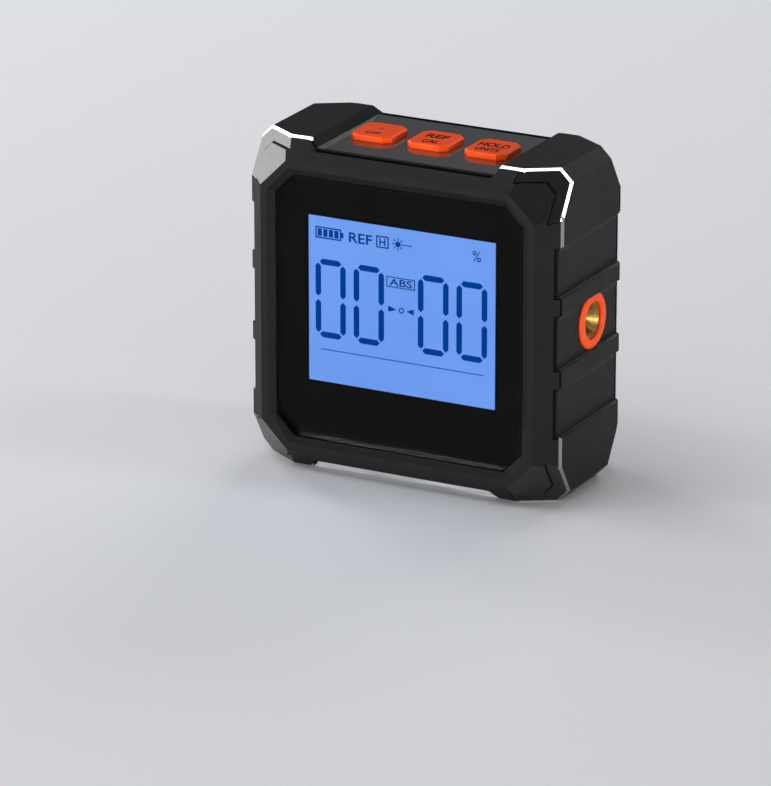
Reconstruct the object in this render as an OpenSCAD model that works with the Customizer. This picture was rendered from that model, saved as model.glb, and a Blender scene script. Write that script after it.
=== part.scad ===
// Digital angle gauge with a side laser, a window display and three top keys.
// Millimetres, +Z up, display facing -Y, origin under the centre of the base.

/* [Case] */
// Width and height of the square case
case_size = 60; // [54:0.5:70]
// Depth of the case from window side to battery side
case_depth = 30; // [29:0.5:36]
// Thickness of the top and bottom walls under their recesses
wall = 2.2; // [1.8:0.1:2.6]
// Chamfer on the four outer corners
corner_chamfer = 2.2; // [1.6:0.1:3]

/* [Bumpers and ribs] */
// Depth of the top and bottom recess between the bumpers
top_recess = 1.6; // [1.2:0.1:1.9]
// Depth of the side recess between bumpers and ribs
side_recess = 0.85; // [0.6:0.05:1.1]
// Length of a bumper along the top
bumper_top = 11.8; // [10.5:0.1:12.5]
// Run of the slope at the end of a bumper on the top
bumper_run = 1.1; // [0.8:0.1:1.6]
// Length of a bumper along the side
bumper_side = 12.8; // [11:0.1:14]
// Height of one side rib
rib_height = 3; // [2:0.1:4]
// Distance from the laser axis to the middle of a rib
rib_offset = 6.5; // [6.3:0.1:7]
// Run of the hollow curve under each bumper and rib edge
rib_hollow = 1.5; // [1:0.1:2]

/* [Sloped frames] */
// Depth of the slope on the front and the rear frame
slope_depth = 3.4; // [3.2:0.1:3.8]
// Inset of the flat front face from the case side
slope_run = 3.6; // [3.4:0.1:4]
// Corner cut of the flat front face
flat_corner = 5; // [4.6:0.1:5.4]
// Length of a bumper edge lost to the corner cut
corner_cut = 8; // [7.5:0.1:8.4]
// How far the corner cut runs back along the case
corner_back = 3.7; // [3.4:0.1:4]
// Width of the rim round a corner facet
rim_width = 1.95; // [1.7:0.05:2.2]
// Corner chamfer of a facet
rim_corner = 1.7; // [1.4:0.1:2]
// Width of the bright chamfer along a rim and beside it
edge_chamfer = 0.62; // [0.4:0.02:0.7]

/* [Seams] */
// Thickness of the gaskets between ring and frames
gasket_thick = 0.4; // [0.3:0.05:0.5]
// How far a gasket lies below the recessed faces beside it
gasket_inset = 0.05; // [0.05:0.05:0.3]
// Depth of the dark grooves beside the frames
groove_depth = 1; // [0.8:0.05:1.1]
// How far a groove cuts into the slope of a frame past the level of the recess
groove_over = 0.16; // [0.1:0.02:0.24]
// Play between parts that only locate each other
fit_gap = 0.12; // [0.08:0.01:0.16]

/* [Window and display] */
// Width of the flat band round the window
band_width = 1.3; // [1:0.1:1.5]
// Width of the bevel that leads in to the window
bevel_width = 1.2; // [0.9:0.1:1.4]
// Depth of the window below the flat band
window_drop = 0.8; // [0.6:0.05:0.9]
// Thickness of the window
lens_thick = 1.2; // [1:0.1:1.3]
// Width of the ledge that carries the window
ledge_width = 1.7; // [1.3:0.1:1.8]
// Thickness of that ledge
ledge_thick = 1; // [0.9:0.1:1.2]
// Black border on each side of the visible display
border_side = 5.8; // [5:0.1:7]
// Mean black border above and below the visible display
border_high = 8.85; // [8.4:0.05:10]
// Height of the display centre above the case centre
view_raise = 1.65; // [1:0.05:1.8]
// Thickness of the display glass
lcd_thick = 2; // [1.6:0.1:2.2]
// Thickness of the light guide behind the display
backlight_thick = 3.2; // [2.8:0.1:3.4]
// Width of a digit segment
segment_width = 1.05; // [0.8:0.05:1.1]
// Gap between the segments of a digit
segment_gap = 0.3; // [0.2:0.01:0.36]

/* [Keys] */
// Space between two keys
key_space = 3; // [2.6:0.1:3.6]
// Space between an outer key and the end of the floor
key_end = 2.1; // [1.9:0.1:2.9]
// Key size across the case
key_depth = 8.4; // [7.4:0.1:9]
// Height of a key above the floor it stands on
key_rise = 1; // [0.8:0.05:1.1]
// Corner cut of a key
key_corner = 1.3; // [1:0.1:1.6]
// Bevel round the top of a key
key_bevel = 0.22; // [0.15:0.01:0.3]
// Play round a key in its opening
key_gap = 0.15; // [0.12:0.01:0.2]
// Travel of a key
key_travel = 0.4; // [0.3:0.05:0.5]

/* [Laser] */
// Distance of the laser axis behind the case centre
laser_back = 2.1; // [1.8:0.1:2.2]
// Height of the laser axis above the case centre
laser_lift = 0.2; // [0:0.05:0.3]
// Outer radius of the laser ring
ring_radius = 5.1; // [4.9:0.05:5.3]
// Height of the ring above the side face
ring_rise = 0.45; // [0.4:0.05:0.6]
// Radius of the laser barrel
barrel_radius = 3.3; // [3.1:0.05:3.4]
// Length of the laser barrel
barrel_length = 15; // [13:0.5:16]

/* [Battery] */
// Cell radius as a share of half the hollow of the case
cell_share = 0.2; // [0.19:0.001:0.202]
// Room between the end of a cell tray and the hollow of the case
tray_margin = 2.6; // [2.4:0.05:3.4]
// Wall of the cell trays
tray_wall = 1; // [0.8:0.05:1.05]
// Play of the battery door in its opening
door_gap = 0.2; // [0.16:0.01:0.25]

/* [Base] */
// Magnet diameter
magnet_diameter = 7; // [6:0.2:7.6]
// Distance of the magnets from the ends and edges of the base
magnet_inset = 5.6; // [4.6:0.1:6]

/* [Hidden] */
$fn = 64;
far = 200;
half = case_size / 2;
edge_y = case_depth / 2 - slope_depth;
flat_y = case_depth / 2;
body_y = edge_y - gasket_thick / 2;
frame_y = edge_y + gasket_thick / 2;
flat_half = half - slope_run;
floor_z = half - top_recess;
side_x = half - side_recess;
bumper_x = half - bumper_top;
bumper_z = half - bumper_side;
floor_x = bumper_x - bumper_run;
rib_top = rib_offset + rib_height / 2;
rib_low = rib_offset - rib_height / 2;
slope_rate = slope_depth / slope_run;

// Hollow of the ring, and the insets that follow it
octagon_rate = 2 - sqrt(2);
cavity_half = floor_z - wall;
cavity_corner = 7.5;
skirt_half = cavity_half - fit_gap;
skirt_wall = 1.15;
skirt_reach = 2.2;
skirt_in = skirt_half - skirt_wall;

// Window stack, counted back from the front face
window_half = flat_half - band_width - bevel_width;
window_corner = flat_corner - octagon_rate * (band_width + bevel_width);
lens_front = flat_y - window_drop;
lens_back = lens_front - lens_thick;
lens_half = window_half - fit_gap;
ledge_half = window_half - ledge_width;
ledge_corner = window_corner - octagon_rate * ledge_width;
mask_thick = 0.2;
lcd_front = lens_back - mask_thick;
ledge_back = lcd_front - ledge_thick;
lcd_back = lcd_front - lcd_thick;
board_front = lcd_back - backlight_thick;
board_thick = 1.6;
board_back = board_front - board_thick;
view_width = 2 * (window_half - border_side);
view_height = 2 * (window_half - border_high);
digit_width = 0.1334 * view_width;
digit_height = 0.44 * view_height;
digit_places = [-0.3818, -0.176, 0.1685, 0.3735];
lcd_border = 2.4;
chip_size = 9;
lcd_half = view_width / 2 + lcd_border;
lcd_top = view_raise + view_height / 2 + 1.2;
lcd_low = view_raise - view_height / 2 - 4.4;
contact_ledge = 2.9;

// Screw posts
post_spread = cavity_half - 5.2;
post_radius = 2.6;
screw_radius = 1;
screw_head = 1.9;
screw_head_high = 1.3;
boss_back = board_back + 0.6;
standoff_x = cavity_half - 2.6;
standoff_z = cavity_half - 13.2;
standoff_radius = 1.8;
small_screw = 0.6;
thread_gap = 0.02;

// Keys and their board
key_width = (2 * floor_x - 2 * key_space - 2 * key_end) / 3;
key_pitch = key_width + key_space;
key_top = floor_z + key_rise;
flange_out = 0.7;
flange_thick = 1;
flange_drop = 0.1;
stem_radius = 1.6;
key_board_drop = 4.5;
key_board_top = cavity_half - key_board_drop;
key_board_thick = 1.2;
switch_high = 1.7;
plunger_radius = 1;
plunger_top = key_board_top + switch_high + 0.7;
hanger_x = key_pitch + key_width / 2 + flange_out + 0.6;
hanger_wide = 1.8;

// Laser
ring_face = side_x + ring_rise;
ring_clip = rib_low - 0.08;
ring_sleeve = barrel_radius + 0.85;
barrel_front = ring_face - 0.5;
barrel_back = barrel_front - barrel_length;
barrel_lip = barrel_radius - 0.4;
barrel_bore = barrel_radius - 0.7;
nose_depth = 1.6;
nose_back = barrel_front - nose_depth - 0.6;
aperture = 1.3;
lens_high = 0.8;
collar_radius = barrel_radius + 1.3;
collar_back = cavity_half - 4;
glue_gap = 0.03;

// Battery trays and door
cell_radius = cell_share * cavity_half;
cell_play = 0.2;
tray_radius = cell_radius + cell_play;
plate_thick = 0.4;
spring_length = 1.9;
tray_half = cavity_half - tray_margin;
cell_length = 2 * tray_half - spring_length - 2 * plate_thick;
cell_offset = barrel_radius + tray_wall + tray_radius + 0.46;
plate_half = 0.68 * tray_radius;
door_thick = 1.8;
door_in = flat_y - door_thick;
door_seat = door_in - 0.1;
cell_y = door_in - cell_radius - 0.35;
door_x = tray_half + 0.7;
door_z = cell_offset + tray_radius + 0.76;
cover_in = flat_y - 3;
tab_x = 14;
tab_half = 3;
tab_reach = 1.2;
tab_thick = 0.7;
slot_in = cover_in + 0.5;
slot_out = door_in + tab_thick + 0.15;

// Base
base_gap = 0.2;
magnet_x = floor_x - magnet_inset;
magnet_y = body_y - magnet_inset;
magnet_deep = wall - 0.8;
magnet_sunk = 0.1;
base_screw_y = body_y - 3.8;

// Raises work drawn about the case centre so that the base lies at zero
module raised() {
    translate([0, 0, half])
        children();
}

// Extrudes an upright outline (x across, y up) between two depths
module between(y_from, y_to) {
    translate([0, y_to, 0])
        rotate([90, 0, 0])
            linear_extrude(y_to - y_from)
                children();
}

// Cylinder along the depth of the case
module rod(radius, y_from, y_to) {
    translate([0, y_to, 0])
        rotate([90, 0, 0])
            cylinder(r = radius, h = y_to - y_from);
}

// Square outline with cut corners
module octagon(size, cut) {
    e = size - cut;
    polygon([
        [size, -e], [size, e], [e, size], [-e, size],
        [-size, e], [-size, -e], [-e, -size], [e, -size]
    ]);
}

// Everything beyond a plane, on the side its normal points to
module beyond(normal, point) {
    length = norm(normal);
    translate(point)
        rotate([0, acos(normal[2] / length), atan2(normal[1], normal[0])])
            translate([-far / 2, -far / 2, 0])
                cube(far);
}

// Repeats something for the four sides or corners of the square
module four_ways() {
    for (a = [0:90:270])
        rotate([0, a, 0])
            children();
}

// Repeats something for the four screw posts
module at_posts() {
    for (x = [-1, 1], z = [-1, 1])
        translate([x * post_spread, 0, z * post_spread])
            children();
}

// Repeats something for the four board standoffs
module at_standoffs() {
    for (x = [-1, 1], z = [-1, 1])
        translate([x * standoff_x, 0, z * standoff_z])
            children();
}

// Hollow curve that runs down from an edge, and one that runs down to an edge
function hollow_down(z) = [
    for (i = [0:5])
        [half - side_recess * sin(18 * i), z - rib_hollow * (1 - cos(18 * i))]
];
function hollow_up(z) = [
    for (i = [5:-1:0])
        [half - side_recess * sin(18 * i), z + rib_hollow * (1 - cos(18 * i))]
];

function right_outline() = concat(
    [[floor_x, floor_z], [bumper_x, half], [half - corner_chamfer, half], [half, half - corner_chamfer]],
    hollow_down(bumper_z), hollow_up(rib_top),
    hollow_down(rib_low), hollow_up(-rib_low),
    hollow_down(-rib_top), hollow_up(-bumper_z),
    [[half, corner_chamfer - half], [half - corner_chamfer, -half], [bumper_x, -half], [floor_x, -floor_z]]
);

// Outline of the case seen from the front
module case_outline() {
    right = right_outline();
    left = [for (i = [len(right) - 1:-1:0]) [-right[i][0], right[i][1]]];
    polygon(concat(right, left));
}

// Rim that the ring keeps round one corner facet
module rim_outline(grow) {
    k = half - corner_cut - grow;
    r = half - rim_width - grow;
    lean = 0.5;
    polygon([
        [k, half + 1], [k, half], [k - lean, r], [r - rim_corner, r],
        [r, r - rim_corner], [r, k - lean], [half, k], [half + 1, k], [half + 1, half + 1]
    ]);
}

// Foot of one corner facet
module facet_foot(grow) {
    k = half - corner_cut - 0.5;
    r = half - rim_width + grow;
    polygon([[k - grow, r], [r - rim_corner, r], [r, r - rim_corner], [r, k - grow]]);
}

// Cut planes of a frame: four slopes and four corner facets
corner_low = (2 * half - corner_cut) / sqrt(2);
corner_high = (2 * half - corner_chamfer) / sqrt(2);
corner_normal = [corner_back / sqrt(2), corner_low - corner_high, corner_back / sqrt(2)];

module frame_planes() {
    four_ways() {
        beyond([0, -slope_run, slope_depth], [0, -edge_y, half]);
        beyond(corner_normal, [flat_half - flat_corner, -flat_y, flat_half]);
    }
}

// Chamfer between the corner cut and another outer face that meets it at a point
module edge_plane(face, point) {
    unit = corner_normal / norm(corner_normal);
    between_them = unit + face;
    deep = edge_chamfer / 2 * sqrt((1 - unit * face) / (1 + unit * face));
    beyond(between_them, point - deep * between_them / norm(between_them));
}

// Cuts that leave the rim of each corner, its chamfers and those on the bumpers beside it
module rim_planes() {
    four_ways() {
        beyond(corner_normal, [half - corner_cut, -edge_y, half]);
        edge_plane([0, 0, 1], [half - corner_cut, -edge_y, half]);
        edge_plane([1, 0, 1] / sqrt(2), [half - corner_chamfer, corner_back - edge_y, half]);
        edge_plane([1, 0, 0], [half, -edge_y, half - corner_cut]);
        for (side = [0, 1])
            mirror([side, 0, 0])
                intersection() {
                    beyond([0, -1, 1], [0, -body_y, half - edge_chamfer / sqrt(2)]);
                    translate([rib_top + rib_hollow, -body_y - 0.1, 0])
                        cube(far);
                }
    }
}

// Grooves beside a frame where the ring is recessed
module frame_grooves() {
    top_y = edge_y + top_recess * slope_rate + groove_over;
    side_y = edge_y + side_recess * slope_rate + groove_over;
    low = floor_z - groove_depth;
    wide = bumper_x + 0.33;
    narrow = wide - 0.77 * (half - low);
    for (s = [-1, 1]) {
        between(-top_y, 0)
            polygon([
                [-wide, s * half], [wide, s * half],
                [narrow, s * low], [-narrow, s * low]
            ]);
        for (span = [[-rib_low, rib_low], [rib_top, bumper_z], [-bumper_z, -rib_top]])
            translate([s > 0 ? side_x - groove_depth : -half - 1, -side_y, span[0]])
                cube([half + 1 - side_x + groove_depth, side_y, span[1] - span[0]]);
    }
}

// Outside of a frame with its corner facets and locating skirt
module frame_shell() {
    difference() {
        union() {
            between(-flat_y, -frame_y)
                difference() {
                    case_outline();
                    for (a = [0:90:270])
                        rotate(a)
                            rim_outline(fit_gap);
                }
            four_ways()
                between(-frame_y - 0.1, -edge_y + 2.2)
                    facet_foot(-fit_gap);
        }
        frame_planes();
        frame_grooves();
    }
    between(-frame_y - 0.1, -frame_y + skirt_reach)
        difference() {
            octagon(skirt_half, cavity_corner - octagon_rate * fit_gap);
            octagon(skirt_in, cavity_corner - octagon_rate * (fit_gap + skirt_wall));
        }
}

// Hollow of a frame inside its skirt
module frame_hollow(y_from) {
    between(y_from, 0)
        octagon(skirt_in, cavity_corner - octagon_rate * (fit_gap + skirt_wall));
}

// Screw bosses of a frame, kept inside its skirt outline
module frame_bosses(y_from, y_to) {
    intersection() {
        at_posts()
            rod(post_radius, y_from, y_to);
        between(y_from, y_to)
            octagon(skirt_half, cavity_corner - octagon_rate * fit_gap);
    }
}

module mid_body() {
    color([0.09, 0.09, 0.1])
    raised()
    difference() {
        union() {
            difference() {
                union() {
                    between(-body_y, body_y)
                        case_outline();
                    for (side = [0, 1])
                        mirror([0, side, 0])
                            between(-edge_y - 2.5, -body_y)
                                intersection() {
                                    case_outline();
                                    for (a = [0:90:270])
                                        rotate(a)
                                            rim_outline(0);
                                }
                }
                for (side = [0, 1])
                    mirror([0, side, 0]) {
                        rim_planes();
                        four_ways()
                            between(-edge_y - 4, -edge_y + 2.2 + fit_gap)
                                facet_foot(0);
                    }
                between(-flat_y, flat_y)
                    octagon(cavity_half, cavity_corner);
            }
            at_posts()
                rod(post_radius, -boss_back, frame_y - skirt_reach - 0.1);
            for (s = [-1, 1])
                translate([s > 0 ? hanger_x : -hanger_x - hanger_wide, -3, key_board_top])
                    cube([hanger_wide, 6, key_board_drop + 0.5]);
            translate([collar_back, laser_back, laser_lift])
                rotate([0, 90, 0])
                    cylinder(r = collar_radius, h = cavity_half - collar_back + 0.5);
        }
        at_posts()
            rod(screw_radius + 0.1, -flat_y, flat_y);
        for (i = [-1:1])
            translate([i * key_pitch, 0, cavity_half - 1])
                key_prism(
                    key_width + 2 * key_gap, key_depth + 2 * key_gap,
                    key_corner + octagon_rate * key_gap, wall + 2
                );
        for (s = [-1, 1])
            translate([s * (hanger_x + hanger_wide / 2), 0, key_board_top - 1])
                cylinder(r = small_screw + thread_gap, h = 4);
        translate([collar_back - 1, laser_back, laser_lift])
            rotate([0, 90, 0])
                cylinder(r = barrel_radius + glue_gap, h = half);
        translate([cavity_half - 0.2, laser_back, laser_lift])
            rotate([0, 90, 0])
                cylinder(r = ring_sleeve + glue_gap, h = half);
        intersection() {
            translate([side_x, laser_back, laser_lift])
                rotate([0, 90, 0])
                    cylinder(r = ring_radius + glue_gap, h = 3);
            translate([side_x - 1, -half, -ring_clip - glue_gap])
                cube([5, 2 * half, 2 * (ring_clip + glue_gap)]);
        }
        at_magnets()
            translate([0, 0, -floor_z - 1])
                cylinder(d = magnet_diameter + 2 * glue_gap, h = magnet_deep + 1);
        at_base_screws()
            translate([0, 0, -floor_z - 1])
                cylinder(r = 0.8 + thread_gap, h = wall + 0.8);
    }
}

module front_bezel() {
    color([0.1, 0.1, 0.11])
    raised()
    difference() {
        union() {
            difference() {
                union() {
                    frame_shell();
                    between(-ledge_back - 0.5, -frame_y)
                        octagon(skirt_half, cavity_corner - octagon_rate * fit_gap);
                }
                frame_hollow(-ledge_back);
                hull() {
                    between(-flat_y - 0.01, -flat_y)
                        octagon(flat_half - band_width, flat_corner - octagon_rate * band_width);
                    between(-lens_front, -lens_front + 0.01)
                        octagon(window_half, window_corner);
                }
                between(-lens_front - 0.1, -lcd_front)
                    octagon(window_half, window_corner);
                between(-flat_y, 0)
                    octagon(ledge_half, ledge_corner);
            }
            frame_bosses(-ledge_back - 0.1, -boss_back);
            at_standoffs()
                rod(standoff_radius, -ledge_back - 0.1, -board_front);
        }
        at_posts()
            rod(screw_radius + thread_gap, -ledge_back + 0.3, 0);
        at_standoffs()
            rod(small_screw + thread_gap, -board_front - 3, 0);
    }
}

// Hollow for one cell, or the outside of its tray
module tray(grow) {
    translate([-tray_half - grow, 0, 0])
        rotate([0, 90, 0])
            cylinder(r = tray_radius + grow, h = 2 * (tray_half + grow));
    translate([-tray_half - grow, 0, -tray_radius - grow])
        cube([2 * (tray_half + grow), door_seat - cell_y + (grow > 0 ? -0.2 : 1), 2 * (tray_radius + grow)]);
}

module rear_cover() {
    color([0.1, 0.1, 0.11])
    raised()
    difference() {
        union() {
            difference() {
                mirror([0, 1, 0])
                    union() {
                        frame_shell();
                        between(-cover_in - 0.5, -frame_y)
                            octagon(skirt_half, cavity_corner - octagon_rate * fit_gap);
                    }
                mirror([0, 1, 0])
                    frame_hollow(-cover_in);
            }
            mirror([0, 1, 0])
                frame_bosses(-cover_in - 0.1, -frame_y + skirt_reach);
            for (s = [-1, 1])
                translate([0, cell_y, s * cell_offset])
                    tray(tray_wall);
        }
        for (s = [-1, 1])
            translate([0, cell_y, s * cell_offset])
                tray(0);
        translate([-door_x - door_gap, door_seat, -door_z - door_gap])
            cube([2 * (door_x + door_gap), 10, 2 * (door_z + door_gap)]);
        for (s = [-1, 1])
            translate([s * tab_x - tab_half - door_gap, slot_in, -door_z - tab_reach - 2 * door_gap])
                cube([2 * (tab_half + door_gap), slot_out - slot_in, tab_reach + 2 * door_gap + 1.2]);
        translate([-4.2, door_seat, door_z - 0.5])
            cube([8.4, 10, 2.6]);
        at_posts() {
            rod(screw_radius + 0.1, 0, flat_y + 1);
            rod(screw_head + 0.15, flat_y - 1.8, flat_y + 1);
        }
    }
}

// Flat gasket that shows in the grooves and stays clear of the corner facets
module gasket() {
    x = side_x - gasket_inset;
    z = floor_z - gasket_inset;
    corner = 2 * half - corner_cut - rim_width - 0.85;
    between(-frame_y, -body_y)
        difference() {
            polygon([
                [x, x - corner], [x, corner - x], [corner - z, z], [z - corner, z],
                [-x, corner - x], [-x, x - corner], [z - corner, -z], [corner - z, -z]
            ]);
            octagon(cavity_half, cavity_corner);
        }
}

module front_gasket() {
    color([0.03, 0.03, 0.03])
    raised()
        gasket();
}

module rear_gasket() {
    color([0.03, 0.03, 0.03])
    raised()
        mirror([0, 1, 0])
            gasket();
}

module window_lens() {
    color([0.75, 0.8, 0.85, 0.4])
    raised()
    hull() {
        between(-lens_front, -lens_front + 0.01)
            octagon(lens_half - 0.35, window_corner - octagon_rate * 0.35);
        between(-lens_front + 0.35, -lens_back)
            octagon(lens_half, window_corner);
    }
}

module window_mask() {
    color([0.02, 0.02, 0.02])
    raised()
    between(-lens_back, -lcd_front)
        difference() {
            octagon(lens_half, window_corner);
            translate([0, view_raise])
                square([view_width, view_height], center = true);
        }
}

module lcd_glass() {
    color([0.38, 0.58, 0.93])
    raised()
    translate([-lcd_half, -lcd_front, lcd_low])
        cube([2 * lcd_half, lcd_thick, lcd_top - lcd_low]);
}

// One segment with pointed ends, lying along x
module segment(length) {
    w = segment_width / 2;
    e = length / 2;
    polygon([[-e, 0], [w - e, w], [e - w, w], [e, 0], [e - w, -w], [w - e, -w]]);
}

// Digit zero: all segments but the middle bar
module digit_zero() {
    bar = digit_width - 2 * segment_gap;
    upright = digit_height / 2 - 2 * segment_gap;
    for (s = [-1, 1]) {
        translate([0, s * digit_height / 2])
            segment(bar);
        for (x = [-1, 1])
            translate([x * digit_width / 2, s * digit_height / 4])
                rotate(90)
                    segment(upright);
    }
}

module lcd_digits() {
    color([0.05, 0.25, 0.55])
    raised()
    for (x = digit_places)
        translate([x * view_width, 0, view_raise + 0.18])
            between(-lcd_front - 0.06, -lcd_front)
                digit_zero();
}

module backlight() {
    color([0.92, 0.93, 0.95])
    raised()
    translate([-lcd_half + 0.6, -lcd_back, lcd_low + contact_ledge])
        cube([2 * lcd_half - 1.2, backlight_thick, lcd_top - lcd_low - contact_ledge]);
}

module lcd_connector() {
    color([0.5, 0.5, 0.52])
    raised()
    translate([-lcd_half + 1.5, -lcd_back, lcd_low + 0.3])
        cube([2 * lcd_half - 3, backlight_thick, contact_ledge - 0.6]);
}

module main_board() {
    color([0.08, 0.35, 0.18])
    raised()
    difference() {
        union() {
            translate([-cavity_half + 0.8, -board_front, post_radius + 0.5 - post_spread])
                cube([2 * cavity_half - 1.6, board_thick, 2 * (post_spread - post_radius - 0.5)]);
            translate([post_radius + 0.7 - post_spread, -board_front, -cavity_half + 1.7])
                cube([2 * (post_spread - post_radius - 0.7), board_thick, 2 * cavity_half - 3.4]);
        }
        at_standoffs()
            rod(small_screw + 0.1, -flat_y, 0);
    }
}

// Small pan screw along the depth, its head on the side that y points to
module small_screw_y(length) {
    rod(small_screw, -length, 0.1);
    difference() {
        rod(1.1, 0, 0.8);
        translate([-0.15, 0.45, -0.8])
            cube([0.3, 1, 1.6]);
        translate([-0.8, 0.45, -0.15])
            cube([1.6, 1, 0.3]);
    }
}

module board_screws() {
    color([0.75, 0.75, 0.77])
    raised()
    at_standoffs()
        translate([0, -board_back, 0])
            small_screw_y(board_thick + 2.6);
}

module tilt_sensor() {
    color([0.12, 0.12, 0.13])
    raised()
    translate([cavity_half - 20.2, -board_back, 12.2 - cavity_half])
        cube([4.4, 1.3, 4.4]);
}

module processor_chip() {
    color([0.1, 0.1, 0.1])
    raised()
    translate([-chip_size, -board_back, -chip_size / 2])
        cube([chip_size, 1.4, chip_size]);
}

module buzzer() {
    color([0.07, 0.07, 0.07])
    raised()
    translate([10.2 - cavity_half, 0, cavity_half - 15.2])
        difference() {
            rod(4.5, -board_back, -board_back + 3);
            rod(0.9, -board_back + 2, -board_back + 4);
        }
}

// Upright prism with cut corners
module key_prism(width, depth, cut, height) {
    w = width / 2;
    d = depth / 2;
    linear_extrude(height)
        polygon([
            [w, cut - d], [w, d - cut], [w - cut, d], [cut - w, d],
            [-w, d - cut], [-w, cut - d], [cut - w, -d], [w - cut, -d]
        ]);
}

module key_cap(place) {
    raised()
    translate([place * key_pitch, 0, 0]) {
        translate([0, 0, cavity_half - flange_drop - flange_thick])
            key_prism(
                key_width + 2 * flange_out, key_depth + 2 * flange_out,
                key_corner, flange_thick
            );
        translate([0, 0, cavity_half - flange_drop - 0.5])
            key_prism(
                key_width, key_depth, key_corner,
                key_top - key_bevel - cavity_half + flange_drop + 0.5
            );
        hull() {
            translate([0, 0, key_top - key_bevel - 0.05])
                key_prism(key_width, key_depth, key_corner, 0.05);
            translate([0, 0, key_top - 0.01])
                key_prism(
                    key_width - 2 * key_bevel, key_depth - 2 * key_bevel,
                    key_corner - octagon_rate * key_bevel, 0.01
                );
        }
        translate([0, 0, plunger_top])
            cylinder(r = stem_radius, h = cavity_half - flange_drop - flange_thick - plunger_top + 0.2);
    }
}

module button_power() {
    color([0.95, 0.3, 0.08])
        key_cap(-1);
}

module button_reference() {
    color([0.95, 0.3, 0.08])
        key_cap(0);
}

module button_hold() {
    color([0.95, 0.3, 0.08])
        key_cap(1);
}

module plunger(place) {
    raised()
    translate([place * key_pitch, 0, key_board_top + key_travel + 0.15])
        cylinder(r = plunger_radius, h = plunger_top - key_board_top - key_travel - 0.15);
}

module plunger_power() {
    color([0.85, 0.85, 0.8])
        plunger(-1);
}

module plunger_reference() {
    color([0.85, 0.85, 0.8])
        plunger(0);
}

module plunger_hold() {
    color([0.85, 0.85, 0.8])
        plunger(1);
}

module key_switches() {
    color([0.15, 0.15, 0.15])
    raised()
    for (i = [-1:1])
        translate([i * key_pitch, 0, key_board_top])
            difference() {
                translate([-2.6, -2.6, 0])
                    cube([5.2, 5.2, switch_high]);
                translate([0, 0, 0.1])
                    cylinder(r = plunger_radius + 0.05, h = switch_high);
            }
}

module key_board() {
    color([0.08, 0.35, 0.18])
    raised()
    difference() {
        translate([-hanger_x - hanger_wide, -4.4, key_board_top - key_board_thick])
            cube([2 * (hanger_x + hanger_wide), 8.8, key_board_thick]);
        for (s = [-1, 1])
            translate([s * (hanger_x + hanger_wide / 2), 0, 0])
                cylinder(r = small_screw + 0.1, h = far);
    }
}

module key_board_screws() {
    color([0.75, 0.75, 0.77])
    raised()
    for (s = [-1, 1])
        translate([s * (hanger_x + hanger_wide / 2), 0, key_board_top - key_board_thick])
            rotate([-90, 0, 0])
                small_screw_y(key_board_thick + 2.4);
}

module laser_ring() {
    color([0.95, 0.3, 0.08])
    raised()
    intersection() {
        translate([0, laser_back, laser_lift])
            rotate([0, 90, 0])
                rotate_extrude()
                    polygon([
                        [barrel_radius + glue_gap, cavity_half], [ring_sleeve, cavity_half],
                        [ring_sleeve, side_x], [ring_radius, side_x],
                        [ring_radius, ring_face - 0.35], [ring_radius - 0.1, ring_face - 0.16],
                        [ring_radius - 0.3, ring_face - 0.03], [ring_radius - 0.5, ring_face],
                        [barrel_radius + 0.2, ring_face], [barrel_radius + glue_gap, ring_face - 0.2]
                    ]);
        translate([0, -half, -ring_clip])
            cube([half + 5, 2 * half, 2 * ring_clip]);
    }
}

module laser_barrel() {
    color([0.72, 0.52, 0.2])
    raised()
    translate([0, laser_back, laser_lift])
        rotate([0, 90, 0])
            rotate_extrude()
                polygon([
                    [barrel_radius, barrel_back], [barrel_radius, barrel_front],
                    [barrel_lip, barrel_front], [aperture, barrel_front - nose_depth],
                    [aperture, nose_back], [barrel_bore, nose_back], [barrel_bore, barrel_back]
                ]);
}

module laser_lens() {
    color([0.55, 0.2, 0.15, 0.6])
    raised()
    translate([nose_back - lens_high, laser_back, laser_lift])
        rotate([0, 90, 0]) {
            cylinder(r = barrel_bore - 0.05, h = lens_high);
            cylinder(r1 = aperture - 0.05, r2 = aperture - 0.4, h = lens_high + 0.4);
        }
}

module laser_diode() {
    color([0.78, 0.76, 0.7])
    raised()
    translate([barrel_back - 1.4, laser_back, laser_lift])
        rotate([0, 90, 0]) {
            translate([0, 0, 3.4])
                cylinder(r = 1.9, h = 2.6);
            translate([0, 0, 1.4])
                cylinder(r = barrel_bore - 0.05, h = 2.2);
            cylinder(r = barrel_lip, h = 1.4);
        }
}

// Cell along x with its pip towards +x
module cell() {
    translate([-cell_length / 2, 0, 0])
        rotate([0, 90, 0]) {
            cylinder(r = cell_radius, h = cell_length - 0.9);
            cylinder(r = 1.9, h = cell_length);
        }
}

module battery_upper() {
    color([0.75, 0.62, 0.3])
    raised()
    translate([spring_length / 2, cell_y, cell_offset])
        cell();
}

module battery_lower() {
    color([0.75, 0.62, 0.3])
    raised()
    translate([-spring_length / 2, cell_y, -cell_offset])
        mirror([1, 0, 0])
            cell();
}

module contact_plates() {
    color([0.8, 0.8, 0.82])
    raised()
    for (x = [-1, 1], z = [-1, 1])
        translate([x > 0 ? tray_half - plate_thick : -tray_half, cell_y, z * cell_offset])
            translate([0, -plate_half, -plate_half])
                cube([plate_thick, 2 * plate_half, 2 * plate_half]);
}

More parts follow.
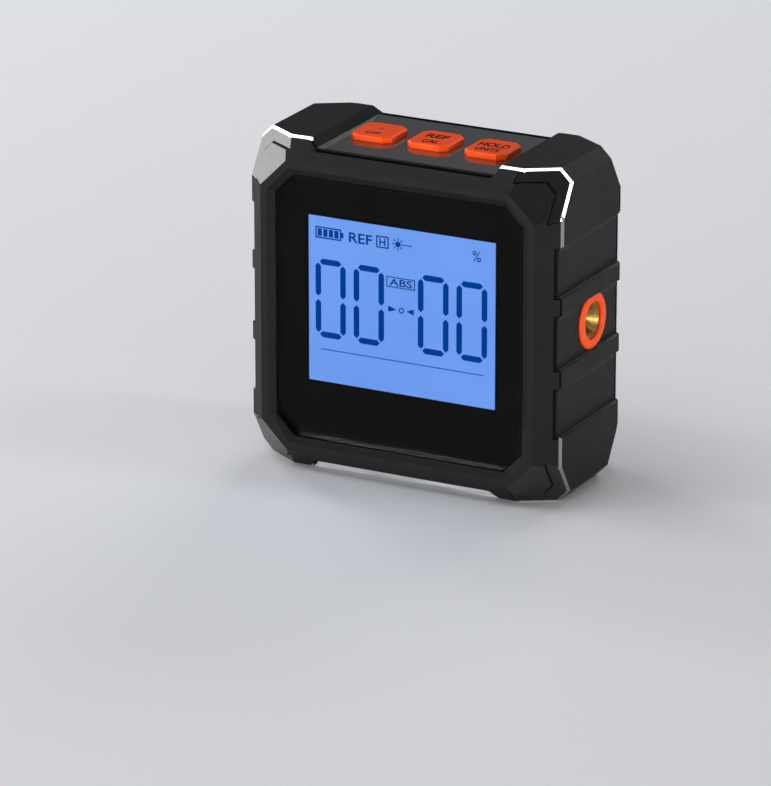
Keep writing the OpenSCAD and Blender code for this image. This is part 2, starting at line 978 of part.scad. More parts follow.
// Conical contact spring along x, swept with a round wire
module contact_spring() {
    wire = 0.25;
    turns = 2.2;
    steps = 32;
    sides = 8;
    rise = spring_length - 2 * wire;
    points = [
        for (i = [0:steps], k = [0:sides - 1])
            let (
                t = i / steps,
                a = 360 * turns * t,
                b = 360 * k / sides,
                r = 3.2 - 1.5 * t + wire * cos(b)
            )
            [wire + rise * t + wire * sin(b), r * cos(a), r * sin(a)]
    ];
    walls = [
        for (i = [0:steps - 1], k = [0:sides - 1])
            let (n = (k + 1) % sides)
            [i * sides + k, i * sides + n, (i + 1) * sides + n, (i + 1) * sides + k]
    ];
    start = [for (k = [sides - 1:-1:0]) k];
    end = [for (k = [0:sides - 1]) steps * sides + k];
    polyhedron(points, concat(walls, [start], [end]), convexity = 8);
}

module contact_springs() {
    color([0.82, 0.82, 0.84])
    raised()
    for (s = [-1, 1])
        translate([-s * (tray_half - plate_thick), cell_y, s * cell_offset])
            mirror([s > 0 ? 0 : 1, 0, 0])
                contact_spring();
}

module battery_door() {
    color([0.11, 0.11, 0.12])
    raised()
    difference() {
        union() {
            translate([-door_x, door_in, -door_z])
                cube([2 * door_x, door_thick, 2 * door_z]);
            for (s = [-1, 1])
                translate([s * tab_x - tab_half, door_in + 0.05, -door_z - tab_reach])
                    cube([2 * tab_half, tab_thick, tab_reach + 1]);
            translate([-4, door_in + 0.6, door_z - 1])
                cube([8, door_thick - 0.6, 1 + 0.9]);
        }
        for (i = [0:3])
            translate([-7 + i, flat_y - 0.5, door_z - 7 + 1.4 * i])
                cube([14 - 2 * i, 1, 0.6]);
    }
}

module case_screws() {
    color([0.35, 0.35, 0.37])
    raised()
    at_posts()
        difference() {
            union() {
                rod(screw_radius, -ledge_back + 0.5, flat_y - 1.7);
                rod(screw_head, flat_y - 1.8, flat_y - 1.8 + screw_head_high);
            }
            translate([-0.25, flat_y - 1.3, -1.3])
                cube([0.5, 2, 2.6]);
            translate([-1.3, flat_y - 1.3, -0.25])
                cube([2.6, 2, 0.5]);
        }
}

module at_magnets() {
    for (x = [-1, 1], y = [-1, 1])
        translate([x * magnet_x, y * magnet_y, 0])
            children();
}

module at_base_screws() {
    for (y = [-1, 1])
        translate([0, y * base_screw_y, 0])
            children();
}

module base_plate() {
    color([0.72, 0.73, 0.75])
    raised()
    difference() {
        between(-body_y + 0.1, body_y - 0.1)
            polygon([
                [base_gap - floor_x, -floor_z], [floor_x - base_gap, -floor_z],
                [bumper_x - base_gap, -half], [base_gap - bumper_x, -half]
            ]);
        at_magnets()
            translate([0, 0, -far / 2])
                cylinder(d = magnet_diameter + 2 * glue_gap, h = far);
        at_base_screws() {
            translate([0, 0, -far / 2])
                cylinder(r = 0.9, h = far);
            translate([0, 0, -half - 0.01])
                cylinder(r1 = 1.96, r2 = 0.9, h = 1.1);
        }
    }
}

module magnets() {
    color([0.6, 0.61, 0.63])
    raised()
    at_magnets()
        translate([0, 0, -half + magnet_sunk])
            cylinder(d = magnet_diameter, h = top_recess - magnet_sunk + magnet_deep);
}

module base_screws() {
    color([0.7, 0.7, 0.72])
    raised()
    at_base_screws()
        difference() {
            union() {
                translate([0, 0, -half + 0.12])
                    cylinder(r1 = 1.8, r2 = 0.8, h = 1.03);
                translate([0, 0, -half + 0.5])
                    cylinder(r = 0.8, h = top_recess + wall - 1);
            }
            translate([-0.2, -1, -half])
                cube([0.4, 2, 0.5]);
        }
}

mid_body();
front_bezel();
rear_cover();
front_gasket();
rear_gasket();
window_lens();
window_mask();
lcd_glass();
lcd_digits();
backlight();
lcd_connector();
main_board();
board_screws();
tilt_sensor();
processor_chip();
buzzer();
button_power();
button_reference();
button_hold();
plunger_power();
plunger_reference();
plunger_hold();
key_switches();
key_board();
key_board_screws();
laser_ring();
laser_barrel();
laser_lens();
laser_diode();
battery_upper();
battery_lower();
contact_plates();
contact_springs();
battery_door();
case_screws();
base_plate();
magnets();
base_screws();
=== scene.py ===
import math

import bmesh
import bpy
from mathutils import Matrix, Vector


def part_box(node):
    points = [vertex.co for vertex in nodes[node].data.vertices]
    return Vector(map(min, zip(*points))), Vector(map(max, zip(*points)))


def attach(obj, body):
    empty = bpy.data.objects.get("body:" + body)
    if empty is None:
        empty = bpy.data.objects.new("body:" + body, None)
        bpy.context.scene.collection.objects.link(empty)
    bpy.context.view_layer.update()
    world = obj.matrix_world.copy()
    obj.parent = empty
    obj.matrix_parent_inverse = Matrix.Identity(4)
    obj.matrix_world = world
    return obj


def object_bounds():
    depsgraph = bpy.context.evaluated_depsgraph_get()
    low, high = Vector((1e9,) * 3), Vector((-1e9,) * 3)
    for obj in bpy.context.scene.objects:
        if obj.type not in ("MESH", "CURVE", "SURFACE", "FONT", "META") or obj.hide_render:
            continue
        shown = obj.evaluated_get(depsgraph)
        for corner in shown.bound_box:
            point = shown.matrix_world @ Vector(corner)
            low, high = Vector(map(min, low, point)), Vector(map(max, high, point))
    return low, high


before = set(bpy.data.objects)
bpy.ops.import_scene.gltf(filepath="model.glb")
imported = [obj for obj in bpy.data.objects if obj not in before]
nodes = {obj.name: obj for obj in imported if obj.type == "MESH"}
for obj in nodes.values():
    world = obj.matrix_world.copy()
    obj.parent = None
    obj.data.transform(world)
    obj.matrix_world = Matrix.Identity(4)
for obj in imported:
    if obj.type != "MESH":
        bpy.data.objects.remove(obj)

cad_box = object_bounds()
MM = 0.001
MIDDLE = (cad_box[0][2] + cad_box[1][2]) / 2 / MM  # height of the case centre above the base, in mm


# Materials
NOISE_LOW = 0.3  # most of a noise lies between these two values
NOISE_HIGH = 0.7
GRAIN_DEPTH = 0.02  # depth of the moulded grain, in mm
DISPLAY_GLOW = 0.95  # strength of the display's own light
CLEAR_SHADE = 0.97  # the darker tint of a clear material, as a share of its colour


def new_material(name):
    """A node material and its shader, with object coordinates ready to use."""
    mat = bpy.data.materials.new(name)
    mat.use_nodes = True
    tree = mat.node_tree
    shader = tree.nodes["Principled BSDF"]
    coords = tree.nodes.new("ShaderNodeTexCoord")
    return mat, tree, shader, coords.outputs["Object"]


def noise(tree, vector, scale, detail, stretch=None):
    """A noise texture of that many cells per metre, stretched along the axes if asked."""
    node = tree.nodes.new("ShaderNodeTexNoise")
    node.inputs["Scale"].default_value = scale
    node.inputs["Detail"].default_value = detail
    if stretch:
        mapping = tree.nodes.new("ShaderNodeMapping")
        mapping.inputs["Scale"].default_value = stretch
        tree.links.new(vector, mapping.inputs["Vector"])
        vector = mapping.outputs["Vector"]
    tree.links.new(vector, node.inputs["Vector"])
    return node.outputs["Fac"]


def spread(tree, value, low, high):
    """Maps a noise on to a range."""
    node = tree.nodes.new("ShaderNodeMapRange")
    node.inputs["From Min"].default_value = NOISE_LOW
    node.inputs["From Max"].default_value = NOISE_HIGH
    node.inputs["To Min"].default_value = low
    node.inputs["To Max"].default_value = high
    tree.links.new(value, node.inputs["Value"])
    return node.outputs["Result"]


def shades(tree, value, dark, light):
    """Mixes two colours by a noise."""
    node = tree.nodes.new("ShaderNodeValToRGB")
    first, last = node.color_ramp.elements
    first.position = NOISE_LOW
    first.color = (*dark, 1)
    last.position = NOISE_HIGH
    last.color = (*light, 1)
    tree.links.new(value, node.inputs["Fac"])
    return node.outputs["Color"]


def bump(tree, shader, height, strength):
    """Roughens the surface by a noise."""
    node = tree.nodes.new("ShaderNodeBump")
    node.inputs["Strength"].default_value = strength
    node.inputs["Distance"].default_value = GRAIN_DEPTH * MM
    tree.links.new(height, node.inputs["Height"])
    tree.links.new(node.outputs["Normal"], shader.inputs["Normal"])


def moulded(name, dark, light, rough, grain=0.1, specular=0.5):
    """Moulded plastic: cloudy colour, uneven sheen and a fine spark-eroded grain if asked."""
    mat, tree, shader, where = new_material(name)
    cloud = noise(tree, where, scale=180, detail=3)
    tree.links.new(shades(tree, cloud, dark, light), shader.inputs["Base Color"])
    sheen = noise(tree, where, scale=420, detail=4)
    tree.links.new(spread(tree, sheen, *rough), shader.inputs["Roughness"])
    if grain:
        bump(tree, shader, noise(tree, where, scale=5200, detail=2), grain)
    shader.inputs["Specular IOR Level"].default_value = specular
    return mat


def metal(name, dark, light, rough, stretch=(1, 1, 1), scale=900):
    """Metal with a directional finish."""
    mat, tree, shader, where = new_material(name)
    streak = noise(tree, where, scale, detail=3, stretch=stretch)
    tree.links.new(shades(tree, streak, dark, light), shader.inputs["Base Color"])
    tree.links.new(spread(tree, streak, *rough), shader.inputs["Roughness"])
    shader.inputs["Metallic"].default_value = 1.0
    return mat


def lit_panel(name, dark, light, base):
    """Display surface that glows evenly, with a faint cloud in its light."""
    mat, tree, shader, where = new_material(name)
    glow = shades(tree, noise(tree, where, scale=45, detail=1), dark, light)
    tree.links.new(glow, shader.inputs["Emission Color"])
    shader.inputs["Emission Strength"].default_value = DISPLAY_GLOW
    shader.inputs["Base Color"].default_value = (*base, 1)
    shader.inputs["Roughness"].default_value = 0.5
    shader.inputs["Specular IOR Level"].default_value = 0.0
    return mat


def clear(name, colour, roughness, ior):
    """Clear moulded or ground glass with a trace of unevenness in its tint."""
    mat, tree, shader, where = new_material(name)
    tint = noise(tree, where, scale=60, detail=1)
    dark = tuple(c * CLEAR_SHADE for c in colour)
    tree.links.new(shades(tree, tint, dark, colour), shader.inputs["Base Color"])
    shader.inputs["Transmission Weight"].default_value = 1.0
    shader.inputs["Roughness"].default_value = roughness
    shader.inputs["IOR"].default_value = ior
    return mat


def lacquer(mat, roughness, ior):
    """Lays a clear coat over a material."""
    shader = mat.node_tree.nodes["Principled BSDF"]
    shader.inputs["Coat Weight"].default_value = 1.0
    shader.inputs["Coat Roughness"].default_value = roughness
    shader.inputs["Coat IOR"].default_value = ior


# Colours as a darker and a lighter shade
CHARCOAL = ((0.0058, 0.006, 0.0064), (0.0074, 0.0076, 0.0081))
ORANGE = ((0.87, 0.074, 0.005), (0.91, 0.084, 0.007))
GREEN = ((0.012, 0.07, 0.03), (0.018, 0.095, 0.042))
GREY = ((0.2, 0.2, 0.21), (0.26, 0.26, 0.27))
case_plastic = moulded("case_plastic", *CHARCOAL, (0.42, 0.47), grain=0.08, specular=0.12)
door_plastic = moulded("door_plastic", *CHARCOAL, (0.46, 0.54), grain=0.2, specular=0.12)
facet_plastic = moulded("facet_plastic", *CHARCOAL, (0.24, 0.28), grain=0)
orange_plastic = moulded("orange_plastic", *ORANGE, (0.3, 0.36), grain=0.04, specular=0.15)
seal_rubber = moulded("seal_rubber", (0.004,) * 3, (0.007,) * 3, (0.75, 0.9), grain=0.2, specular=0.2)
grey_rubber = moulded("grey_rubber", *GREY, (0.7, 0.85), grain=0.2, specular=0.2)
chip_black = moulded("chip_black", (0.012, 0.012, 0.013), (0.02, 0.02, 0.021), (0.5, 0.65), grain=0.25)
board_green = moulded("board_green", *GREEN, (0.35, 0.5))
pale_plastic = moulded("pale_plastic", (0.72, 0.72, 0.66), (0.8, 0.8, 0.74), (0.4, 0.5), grain=0.05)
guide_white = moulded("guide_white", (0.8, 0.82, 0.85), (0.86, 0.88, 0.9), (0.3, 0.4), grain=0.03)
cell_wrap = moulded("cell_wrap", (0.5, 0.33, 0.07), (0.58, 0.4, 0.09), (0.25, 0.32), grain=0.03)
legend_ink = moulded("legend_ink", (0.003, 0.002, 0.002), (0.006, 0.004, 0.004), (0.6, 0.7), 0.05, 0.05)
faded_ink = moulded("faded_ink", (0.25, 0.02, 0.004), (0.4, 0.035, 0.006), (0.5, 0.6), 0.05, 0.2)

steel = metal("steel", (0.5, 0.5, 0.52), (0.66, 0.66, 0.68), (0.25, 0.38))
dark_steel = metal("dark_steel", (0.1, 0.1, 0.11), (0.16, 0.16, 0.17), (0.3, 0.42))
magnet_metal = metal("magnet_metal", (0.55, 0.56, 0.58), (0.66, 0.67, 0.69), (0.12, 0.2))
brass = metal("brass", (0.3, 0.17, 0.045), (0.46, 0.28, 0.085), (0.28, 0.4), (0.15, 1, 1), 1400)
base_metal = metal("base_metal", (0.5, 0.51, 0.53), (0.64, 0.65, 0.67), (0.28, 0.4), (0.05, 1, 1), 2200)

# The flat faces of the window mirror nothing, and the black film behind it carries a faint gloss instead.
window_clear = clear("window_clear", (1.0, 1.0, 1.0), roughness=0.0, ior=1.0)
window_edge = clear("window_edge", (0.9, 0.92, 0.95), roughness=0.05, ior=1.35)
black_film = moulded("black_film", (0.0006, 0.0006, 0.0007), (0.001, 0.001, 0.0011), (0.08, 0.12), 0, 0.1)
display_blue = lit_panel("display_blue", (0.13, 0.3, 0.83), (0.15, 0.33, 0.87), base=(0.02, 0.03, 0.05))
display_ink = lit_panel("display_ink", (0.0, 0.04, 0.26), (0.0, 0.046, 0.29), base=(0.001, 0.003, 0.01))
lens_amber = clear("lens_amber", (0.75, 0.42, 0.2), roughness=0.03, ior=1.5)

# The key floor between the bumpers is lacquered, so it mirrors the keys that stand on it.
floor_gloss = moulded("floor_gloss", *CHARCOAL, (0.42, 0.47), grain=0.08, specular=0.12)
lacquer(floor_gloss, roughness=0.07, ior=3.2)

# The chamfers along the corner rims are glossy and flash in the lamps; their base colour is a little lighter
# than the case, a painted highlight.
edge_gloss_and_painted_highlight = moulded("edge_gloss_and_painted_highlight", (0.02, 0.02, 0.021), (0.024, 0.024, 0.025), (0.16, 0.2), 0, 1.0)
lacquer(edge_gloss_and_painted_highlight, roughness=0.15, ior=3.2)

FINISH = {
    "mid_body": case_plastic,
    "front_bezel": case_plastic,
    "rear_cover": case_plastic,
    "battery_door": door_plastic,
    "front_gasket": seal_rubber,
    "rear_gasket": seal_rubber,
    "window_lens": window_clear,
    "window_mask": black_film,
    "lcd_glass": display_blue,
    "lcd_digits": display_ink,
    "backlight": guide_white,
    "lcd_connector": grey_rubber,
    "main_board": board_green,
    "key_board": board_green,
    "board_screws": steel,
    "key_board_screws": steel,
    "base_screws": steel,
    "contact_plates": steel,
    "contact_springs": steel,
    "laser_diode": steel,
    "case_screws": dark_steel,
    "tilt_sensor": chip_black,
    "processor_chip": chip_black,
    "buzzer": chip_black,
    "key_switches": chip_black,
    "button_power": orange_plastic,
    "button_reference": orange_plastic,
    "button_hold": orange_plastic,
    "laser_ring": orange_plastic,
    "plunger_power": pale_plastic,
    "plunger_reference": pale_plastic,
    "plunger_hold": pale_plastic,
    "laser_barrel": brass,
    "laser_lens": lens_amber,
    "battery_upper": cell_wrap,
    "battery_lower": cell_wrap,
    "base_plate": base_metal,
    "magnets": magnet_metal,
}
for name, mat in FINISH.items():
    obj = nodes[name]
    obj.data.materials.clear()
    obj.data.materials.append(mat)


# Faces with a finish of their own
RIM_REACH = 35.0  # how far out from the case centre the corner rims begin, in mm
KEY_FLOOR = 58.4  # height of the key floor above the base, in mm
SAME_LEVEL = 0.05  # faces closer than this to a height lie at it, in mm
SAME_WAY = 0.9995  # cosine of the widest angle between directions that count as one

# Direction of the corner cut of the case, from the three lengths that it takes off the edges, in mm
CORNER_CUT = 8.0
CORNER_CHAMFER = 2.2
CORNER_BACK = 3.7
corner_cut = Vector((CORNER_BACK, CORNER_CUT - CORNER_CHAMFER, CORNER_BACK)).normalized()

# A chamfer points halfway between the two faces that it joins.
RIM_CHAMFERS = (
    corner_cut + Vector((0, 0, 1)),
    corner_cut + Vector((1, 0, 0)),
    corner_cut + Vector((1, 0, 1)).normalized(),
    Vector((0, 1, 1)),
    Vector((1, 1, 0)),
)


def refinish(name, mat, wanted):
    """Gives another material to the faces of a node whose direction and centre, in mm, pass a test."""
    mesh = nodes[name].data
    mesh.materials.append(mat)
    index = len(mesh.materials) - 1
    for face in mesh.polygons:
        if wanted(face.normal, face.center / MM):
            face.material_index = index


def at_rims(directions):
    """A test for the faces at the corner rims that point along some directions, mirrored to every corner."""
    units = [d.normalized() for d in directions]

    def wanted(normal, centre):
        facing = Vector([abs(n) for n in normal])
        reach = max(abs(centre.x), abs(centre.z - MIDDLE)) + abs(centre.y)
        return reach > RIM_REACH and any(facing.dot(unit) > SAME_WAY for unit in units)

    return wanted


def at_key_floor(normal, centre):
    """A test for the floor that the keys stand on."""
    return normal.z > SAME_WAY and abs(centre.z - KEY_FLOOR) < SAME_LEVEL


def at_window_edge(normal, centre):
    """A test for the bevel and the rim of the window."""
    return abs(normal.y) < SAME_WAY


for name in ("mid_body", "front_bezel", "rear_cover"):
    refinish(name, facet_plastic, at_rims([corner_cut]))
refinish("mid_body", edge_gloss_and_painted_highlight, at_rims(RIM_CHAMFERS))
refinish("mid_body", floor_gloss, at_key_floor)
refinish("window_lens", window_edge, at_window_edge)


# Small rounds on the frames, the door and the base, so that their edges catch the light
WELD_GAP = 0.001  # points closer than this become one, in mm
FLAT_WITHIN = 0.5  # faces that turn less than this become one, in degrees
ROUND_FROM = 28  # edges that turn more than this are rounded, in degrees
ROUND_STEPS = 2
FACE_WEIGHT = 80  # how far large faces steer the shading of a round


def soften(name, width_mm):
    """Joins the facets of a node's flat faces and rounds its edges."""
    obj = nodes[name]
    weld = obj.modifiers.new("weld", "WELD")
    weld.merge_threshold = WELD_GAP * MM
    flat = obj.modifiers.new("flatten", "DECIMATE")
    flat.decimate_type = "DISSOLVE"
    flat.angle_limit = math.radians(FLAT_WITHIN)
    edge = obj.modifiers.new("round", "BEVEL")
    edge.width = width_mm * MM
    edge.segments = ROUND_STEPS
    edge.limit_method = "ANGLE"
    edge.angle_limit = math.radians(ROUND_FROM)
    edge.use_clamp_overlap = True
    edge.miter_outer = "MITER_ARC"
    edge.harden_normals = False
    shading = obj.modifiers.new("normals", "WEIGHTED_NORMAL")
    shading.keep_sharp = False
    shading.weight = FACE_WEIGHT


soften("front_bezel", width_mm=0.16)
soften("rear_cover", width_mm=0.16)
soften("battery_door", width_mm=0.2)
soften("base_plate", width_mm=0.12)

# The ring has no rounds: its curved faces are shaded smooth and its edges stay sharp.
CREASE_FROM = 20  # edges that turn more than this stay sharp, in degrees
nodes["mid_body"].data.shade_smooth()
nodes["mid_body"].data.set_sharp_from_angle(angle=math.radians(CREASE_FROM))

# A hair of air behind the window keeps its back face out of the face of the film.
WINDOW_AIR = 0.02  # in mm
air = nodes["window_lens"].modifiers.new("air", "DISPLACE")
air.direction = "Y"
air.mid_level = 0.0
air.strength = -WINDOW_AIR * MM


# Flat signs: thin prisms drawn on a plane
class Signs:
    """Collects thin prisms on a plane, drawn in mm, and turns them into one mesh."""

    def __init__(self, name, place, thick_mm):
        self.name = name
        self.place = place
        self.thick = thick_mm * MM
        self.mesh = bmesh.new()

    def row(self, points, z):
        """The points of an outline at one height."""
        return [self.mesh.verts.new((x * MM, y * MM, z)) for x, y in points]

    def outline(self, points):
        """A prism over one closed outline, given anticlockwise."""
        low = self.row(points, 0)
        top = self.row(points, self.thick)
        self.mesh.faces.new(list(reversed(low)))
        self.mesh.faces.new(top)
        for i in range(len(points)):
            j = (i + 1) % len(points)
            self.mesh.faces.new((low[i], low[j], top[j], top[i]))

    def band(self, outer, inner):
        """A closed band between two outlines with the same number of points."""
        out_low = self.row(outer, 0)
        out_top = self.row(outer, self.thick)
        in_low = self.row(inner, 0)
        in_top = self.row(inner, self.thick)
        for i in range(len(outer)):
            j = (i + 1) % len(outer)
            self.mesh.faces.new((out_low[i], out_low[j], out_top[j], out_top[i]))
            self.mesh.faces.new((in_low[j], in_low[i], in_top[i], in_top[j]))
            self.mesh.faces.new((out_top[i], out_top[j], in_top[j], in_top[i]))
            self.mesh.faces.new((in_low[i], in_low[j], out_low[j], out_low[i]))

    def bar(self, x0, y0, x1, y1):
        """A filled rectangle."""
        self.outline([(x0, y0), (x1, y0), (x1, y1), (x0, y1)])

    def frame(self, x0, y0, x1, y1, line):
        """A rectangle drawn with a line of that width, inside its edges."""
        outer = [(x0, y0), (x1, y0), (x1, y1), (x0, y1)]
        inner = [
            (x0 + line, y0 + line),
            (x1 - line, y0 + line),
            (x1 - line, y1 - line),
            (x0 + line, y1 - line),
        ]
        self.band(outer, inner)

    def arc(self, x, y, radius, line, start, end, steps=20):
        """A line along part of a circle, or all of it, between two angles in degrees."""
        whole = end - start >= 360
        count = steps if whole else steps + 1
        turn = [math.radians(start + (end - start) * i / steps) for i in range(count)]
        outer = [(x + (radius + line / 2) * math.cos(t), y + (radius + line / 2) * math.sin(t)) for t in turn]
        inner = [(x + (radius - line / 2) * math.cos(t), y + (radius - line / 2) * math.sin(t)) for t in turn]
        if whole:
            self.band(outer, inner)
        else:
            self.outline(outer + inner[::-1])

    def disc(self, x, y, radius, steps=20):
        """A filled circle."""
        turn = [2 * math.pi * i / steps for i in range(steps)]
        self.outline([(x + radius * math.cos(t), y + radius * math.sin(t)) for t in turn])

    def ray(self, x, y, angle, near, far, line):
        """A line away from a point, between two distances from it."""
        c = math.cos(math.radians(angle))
        s = math.sin(math.radians(angle))
        w = line / 2
        self.outline([
            (x + near * c + w * s, y + near * s - w * c),
            (x + far * c + w * s, y + far * s - w * c),
            (x + far * c - w * s, y + far * s + w * c),
            (x + near * c - w * s, y + near * s + w * c),
        ])

    def word(self, text, x0, y0, x1, y1, weight=0.0):
        """A word in the built-in letters, fitted to a box, with heavier lines if asked."""
        curve = bpy.data.curves.new("word", "FONT")
        curve.body = text
        curve.size = 1.0
        curve.offset = weight
        curve.resolution_u = 4
        holder = bpy.data.objects.new("word", curve)
        bpy.context.scene.collection.objects.link(holder)
        bpy.context.view_layer.update()
        flat = bpy.data.meshes.new_from_object(holder.evaluated_get(bpy.context.evaluated_depsgraph_get()))
        bpy.data.objects.remove(holder)
        bpy.data.curves.remove(curve)
        lows = [min(v.co[i] for v in flat.vertices) for i in (0, 1)]
        highs = [max(v.co[i] for v in flat.vertices) for i in (0, 1)]
        piece = bmesh.new()
        piece.from_mesh(flat)
        bpy.data.meshes.remove(flat)
        bmesh.ops.remove_doubles(piece, verts=piece.verts, dist=1e-5)
        for v in piece.verts:
            v.co.x = (x0 + (v.co.x - lows[0]) / (highs[0] - lows[0]) * (x1 - x0)) * MM
            v.co.y = (y0 + (v.co.y - lows[1]) / (highs[1] - lows[1]) * (y1 - y0)) * MM
            v.co.z = self.thick
        bmesh.ops.recalc_face_normals(piece, faces=piece.faces)
        faces = list(piece.faces)
        if faces[0].normal.z < 0:
            bmesh.ops.reverse_faces(piece, faces=faces)
        solid = bmesh.ops.extrude_face_region(piece, geom=faces)
        for part in solid["geom"]:
            if isinstance(part, bmesh.types.BMVert):
                part.co.z = 0.0
        bmesh.ops.recalc_face_normals(piece, faces=piece.faces)
        letters = bpy.data.meshes.new("letters")
        piece.to_mesh(letters)
        piece.free()
        self.mesh.from_mesh(letters)
        bpy.data.meshes.remove(letters)

    def make(self, mat, body, slot):
        """Puts the mesh in its place, as a piece that rides a body."""
        data = bpy.data.meshes.new(self.name)
        bmesh.ops.recalc_face_normals(self.mesh, faces=self.mesh.faces)
        self.mesh.to_mesh(data)
        self.mesh.free()
        data.transform(self.place)
        data.materials.append(mat)
        obj = bpy.data.objects.new(self.name, data)
        bpy.context.scene.collection.objects.link(obj)
        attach(obj, body)


# Display signs lie on the front of the display glass, x across and y up from the case centre, in mm.
# Boxes give the left, lower, right and upper edge.
SIGN_THICK = 0.06
BATTERY_BOX = (-16.76, 12.66, -11.75, 14.77)
BATTERY_TIP = (-11.72, 13.25, -11.3, 14.2)
CELL_BOX = (-16.3, 13.05, -15.5, 14.4)
CELL_PITCH = 1.08
CELLS = 4
REF_BOX = (-10.22, 12.75, -5.72, 14.55)
HOLD_FRAME = (-4.95, 12.59, -2.52, 14.75)
HOLD_BOX = (-4.32, 12.98, -3.15, 14.36)
LASER_SPOT = (-0.72, 13.7)
LASER_RADIUS = 0.5
RAYS = 8
RAY_NEAR = 0.62
RAY_FAR = 1.15
BEAM_FAR = 2.67
RAY_LINE = 0.16
PERCENT_BOX = (13.58, 12.78, 15.22, 14.7)
ABS_FRAME = (-2.96, 5.8, 2.57, 7.71)
ABS_BOX = (-2.35, 6.12, 1.98, 7.4)
LEFT_ARROW = [(-2.6, 1.3), (-0.99, 1.83), (-2.6, 2.36)]
RIGHT_ARROW = [(2.32, 1.3), (2.32, 2.36), (0.95, 1.83)]
LEVEL_SPOT = (-0.05, 1.83)
LEVEL_RADIUS = 0.42
UNDERLINE = (-15.8, -7.56, 15.83, -7.42)

lcd_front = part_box("lcd_glass")[0].y
upright = Matrix.Translation((0, lcd_front, MIDDLE * MM)) @ Matrix.Rotation(math.radians(90), 4, "X")
signs = Signs("lcd_signs", upright, SIGN_THICK)
signs.frame(*BATTERY_BOX, line=0.24)
signs.bar(*BATTERY_TIP)
left, low, right, high = CELL_BOX
for i in range(CELLS):
    signs.bar(left + CELL_PITCH * i, low, right + CELL_PITCH * i, high)
signs.word("REF", *REF_BOX, weight=0.012)
signs.frame(*HOLD_FRAME, line=0.22)
signs.word("H", *HOLD_BOX, weight=0.012)
signs.disc(*LASER_SPOT, LASER_RADIUS)
for i in range(1, RAYS):
    signs.ray(*LASER_SPOT, 360 / RAYS * i, RAY_NEAR, RAY_FAR, RAY_LINE)
signs.ray(*LASER_SPOT, 0, RAY_NEAR, BEAM_FAR, RAY_LINE)
signs.word("%", *PERCENT_BOX)
signs.frame(*ABS_FRAME, line=0.16)
signs.word("ABS", *ABS_BOX, weight=0.01)
signs.outline(LEFT_ARROW)
signs.outline(RIGHT_ARROW)
signs.arc(*LEVEL_SPOT, LEVEL_RADIUS, line=0.18, start=0, end=360)
signs.bar(*UNDERLINE)
signs.make(display_ink, "housing", "display_ink")


# Key legends lie on the key tops, x across and y back from the key centre, in mm.
LEGEND_THICK = 0.02
LEGEND_WEIGHT = 0.025  # how far the lines of the letters are thickened, as a share of their size
OFF_BOX = (-1.6, -2.55, 1.15, -1.35)
MARK_SPOT = (-0.1, 0.85)
MARK_STEM = (-0.19, 0.9, -0.01, 1.4)
KEY_REF_BOX = (-2.2, 0.05, 2.0, 2.1)
CAL_BOX = (-1.55, -2.85, 1.6, -1.15)
KEY_HOLD_BOX = (-2.95, -0.2, 2.75, 1.95)
UNITS_BOX = (-2.4, -2.7, 2.05, -0.95)


def legend(key, name):
    """Signs for the top of a key."""
    low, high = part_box(key)
    top = Matrix.Translation(((low.x + high.x) / 2, (low.y + high.y) / 2, high.z))
    return Signs(name, top, LEGEND_THICK)


off = legend("button_power", "legend_power")
off.word("OFF", *OFF_BOX, weight=0.01)
off.make(legend_ink, "power_key", "black_film")
mark = legend("button_power", "legend_mark")
mark.arc(*MARK_SPOT, radius=0.36, line=0.18, start=125, end=415)
mark.bar(*MARK_STEM)
mark.make(faded_ink, "power_key", "black_film")
ref = legend("button_reference", "legend_reference")
ref.word("REF", *KEY_REF_BOX, LEGEND_WEIGHT)
ref.word("CAL", *CAL_BOX, LEGEND_WEIGHT)
ref.make(legend_ink, "reference_key", "black_film")
hold = legend("button_hold", "legend_hold")
hold.word("HOLD", *KEY_HOLD_BOX, LEGEND_WEIGHT)
hold.word("UNITS", *UNITS_BOX, LEGEND_WEIGHT)
hold.make(legend_ink, "hold_key", "black_film")


# Studio floor and world
FLOOR_HALF = 15  # in m
FLOOR_COLOUR = (0.78, 0.79, 0.81, 1)
WORLD_COLOUR = (0.72, 0.74, 0.77, 1)
WORLD_STRENGTH = 0.18

floor_pale = bpy.data.materials.new("floor_pale")
floor_pale.use_nodes = True
floor_shader = floor_pale.node_tree.nodes["Principled BSDF"]
floor_shader.inputs["Base Color"].default_value = FLOOR_COLOUR
floor_shader.inputs["Roughness"].default_value = 0.8
corners = [(-1, -1), (1, -1), (1, 1), (-1, 1)]
floor_mesh = bpy.data.meshes.new("floor")
floor_mesh.from_pydata([(x * FLOOR_HALF, y * FLOOR_HALF, 0) for x, y in corners], [], [(0, 1, 2, 3)])
floor_mesh.materials.append(floor_pale)
floor = bpy.data.objects.new("floor", floor_mesh)
bpy.context.scene.collection.objects.link(floor)

world = bpy.data.worlds.new("studio")
bpy.context.scene.world = world
world.use_nodes = True
world.node_tree.nodes["Background"].inputs["Color"].default_value = WORLD_COLOUR
world.node_tree.nodes["Background"].inputs["Strength"].default_value = WORLD_STRENGTH


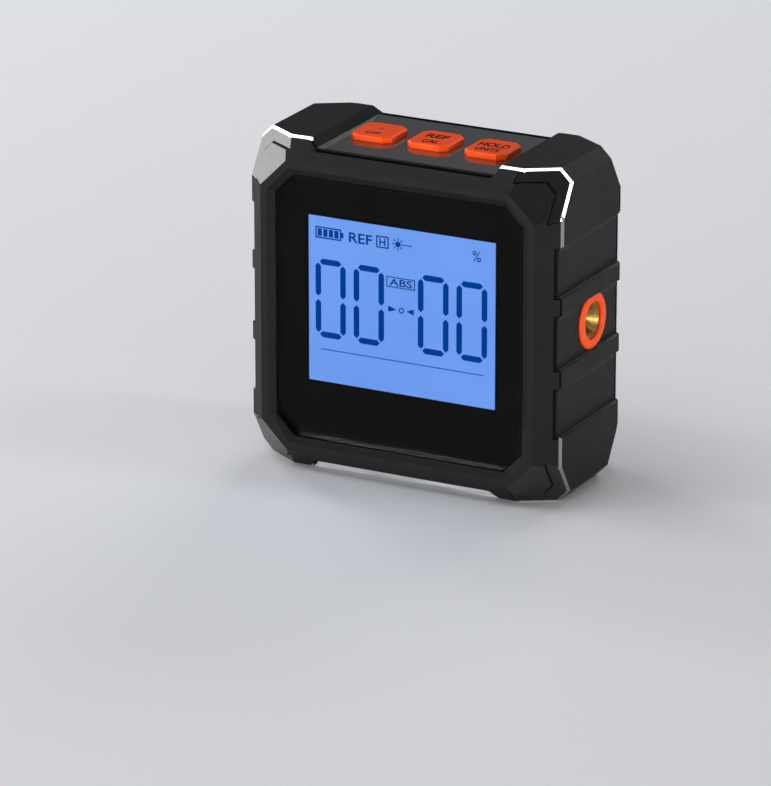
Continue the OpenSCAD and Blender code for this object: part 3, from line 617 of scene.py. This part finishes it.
def lamp(name, toward, distance, width, height, brightness):
    """Soft box seen from the case in a direction; its power follows from its area and brightness."""
    case = Vector((0, 0, MIDDLE * MM))
    data = bpy.data.lights.new(name, "AREA")
    data.shape = "RECTANGLE"
    data.size = width
    data.size_y = height
    data.energy = brightness * math.pi * width * height
    obj = bpy.data.objects.new(name, data)
    obj.location = case + Vector(toward).normalized() * distance
    obj.rotation_euler = (case - obj.location).to_track_quat("-Z", "Y").to_euler()
    bpy.context.scene.collection.objects.link(obj)


# Low strips light the fronts of the keys, broad boxes light the rest, and small bright ones stand
# where the polished chamfers mirror them. Each has a direction from the case, then its distance,
# width and height in m, and its brightness.
lamp("front_strip", (-0.35, -0.92, 0.05), 1.2, 1.6, 0.16, 17.0)
lamp("right_strip", (0.8, -0.58, 0.05), 1.2, 1.0, 0.16, 15.0)
lamp("sky", (-0.436, -0.278, 0.856), 1.4, 1.0, 1.0, 1.6)
lamp("back", (0.02, 0.84, 0.45), 1.2, 0.6, 0.3, 5.0)
lamp("left", (-0.976, -0.008, 0.214), 1.1, 0.4, 0.4, 7.0)
lamp("over", (-0.015, 0.181, 0.982), 1.1, 0.14, 0.14, 11.0)
lamp("over_left", (-0.724, 0.388, 0.57), 1.1, 0.2, 0.2, 11.0)
lamp("over_right", (0.64, 0.16, 0.75), 1.1, 0.14, 0.14, 11.0)
lamp("over_front", (-0.436, -0.326, 0.839), 1.1, 0.14, 0.14, 11.0)
lamp("back_left", (-0.785, 0.62, 0.12), 1.1, 0.3, 0.2, 10.0)
lamp("right", (0.98, 0.125, 0.16), 1.1, 0.2, 0.2, 14.0)


# Camera at the photograph's viewing angle
AZIMUTH = math.radians(27.445)  # from the front towards the right
ELEVATION = math.radians(19.021)
CAMERA_DISTANCE = 1.065989  # in m
CAMERA_TARGET = Vector((-9.791, 0, 11.367))  # in mm
camera_data = bpy.data.cameras.new("camera")
camera_data.lens = 277.77
camera_data.sensor_width = 36
camera_data.clip_start = 0.05
camera = bpy.data.objects.new("camera", camera_data)
back = Vector((
    math.sin(AZIMUTH) * math.cos(ELEVATION),
    -math.cos(AZIMUTH) * math.cos(ELEVATION),
    math.sin(ELEVATION),
))
camera.location = CAMERA_TARGET * MM + back * CAMERA_DISTANCE
camera.rotation_euler = back.to_track_quat("Z", "Y").to_euler()
bpy.context.scene.collection.objects.link(camera)
bpy.context.scene.camera = camera
bpy.context.scene.view_settings.view_transform = "Standard"
